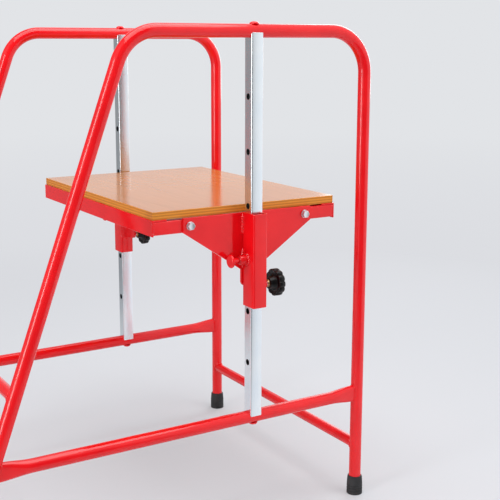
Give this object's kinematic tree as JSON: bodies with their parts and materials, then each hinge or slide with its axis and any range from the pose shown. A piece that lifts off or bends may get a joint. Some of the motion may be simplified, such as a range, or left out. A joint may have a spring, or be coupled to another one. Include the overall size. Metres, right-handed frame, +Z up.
{
  "type": "work platform bench",
  "caption": "Work platform bench: plywood deck on a steel frame that slides on perforated square masts, with draw pins and star knobs, between tubular end frames with a raked step-up side.",
  "frame": {"origin": "middle of the footprint on the floor", "axes": "+Z up; Y runs between the two end frames, near end -Y, far end +Y; the raked step-up legs are on -X and the upright legs on +X"},
  "size_m": [0.8904, 0.638, 0.9775],
  "materials": {
    "red_paint": "gloss red powder coat",
    "zinc": "bright zinc plate",
    "plywood": "clear gloss film on plywood",
    "knob": "satin black",
    "nylon": "matt black",
    "brass": "turned",
    "rubber": "matt black"
  },
  "bodies": {
    "stand": {"near_right_leg": "red_paint", "far_right_leg": "red_paint", "near_left_leg": "red_paint", "far_left_leg": "red_paint", "near_right_bend": "red_paint", "far_right_bend": "red_paint", "near_left_bend": "red_paint", "far_left_bend": "red_paint", "near_top_bar": "red_paint", "far_top_bar": "red_paint", "near_cross_bar": "red_paint", "far_cross_bar": "red_paint", "near_bar_ends": "red_paint", "far_bar_ends": "red_paint", "near_mast": "zinc", "far_mast": "zinc", "near_mast_plugs": "zinc", "far_mast_plugs": "zinc", "near_mast_bolts": "red_paint", "far_mast_bolts": "red_paint", "near_right_foot": "rubber", "far_right_foot": "rubber", "near_left_foot": "rubber", "far_left_foot": "rubber", "right_stretcher": "red_paint", "left_stretcher": "red_paint", "step_rung": "red_paint"},
    "platform": {"deck": "plywood", "left_side_angle": "red_paint", "right_side_angle": "red_paint", "near_end_rail": "red_paint", "far_end_rail": "red_paint", "deck_screws": "zinc", "near_gusset": "red_paint", "far_gusset": "red_paint", "near_sleeve": "red_paint", "far_sleeve": "red_paint", "near_gusset_bolts": "zinc", "far_gusset_bolts": "zinc", "near_gusset_nuts": "zinc", "far_gusset_nuts": "zinc", "near_pin_housing": "red_paint", "far_pin_housing": "red_paint", "near_pin_bush": "nylon", "far_pin_bush": "nylon", "near_clamp_boss": "red_paint", "far_clamp_boss": "red_paint"},
    "near_pin": {"near_lock_pin": "red_paint", "near_pin_pull": "red_paint"},
    "near_clamp": {"near_clamp_pad": "brass"},
    "near_knob": {"near_clamp_stud": "zinc", "near_star_knob": "knob"},
    "far_pin": {"far_lock_pin": "red_paint", "far_pin_pull": "red_paint"},
    "far_clamp": {"far_clamp_pad": "brass"},
    "far_knob": {"far_clamp_stud": "zinc", "far_star_knob": "knob"}
  },
  "joints": [
    {"name": "platform_lift", "type": "slide", "parent": "stand", "child": "platform", "axis": [0, 0, 1], "range_m": [-0.203, 0.3045]},
    {"name": "near_pin_slide", "type": "slide", "parent": "platform", "child": "near_pin", "axis": [1, 0, 0], "range_m": [0, 0.012]},
    {"name": "near_clamp_travel", "type": "slide", "parent": "platform", "child": "near_clamp", "axis": [1, 0, 0], "range_m": [0, 0.003]},
    {"name": "near_knob_turn", "type": "hinge", "parent": "near_clamp", "child": "near_knob", "pos_m": [0.20674, -0.292, 0.4855], "axis": [1, 0, 0], "range_deg": [0, 720]},
    {"name": "far_pin_slide", "type": "slide", "parent": "platform", "child": "far_pin", "axis": [1, 0, 0], "range_m": [0, 0.012]},
    {"name": "far_clamp_travel", "type": "slide", "parent": "platform", "child": "far_clamp", "axis": [1, 0, 0], "range_m": [0, 0.003]},
    {"name": "far_knob_turn", "type": "hinge", "parent": "far_clamp", "child": "far_knob", "pos_m": [0.20674, 0.292, 0.4855], "axis": [1, 0, 0], "range_deg": [0, 720]}
  ],
  "couplings": [
    {"joint": "near_clamp_travel", "follows": "near_knob_turn", "m_per_rad": 0.00023873},
    {"joint": "far_clamp_travel", "follows": "far_knob_turn", "m_per_rad": 0.00023873}
  ]
}
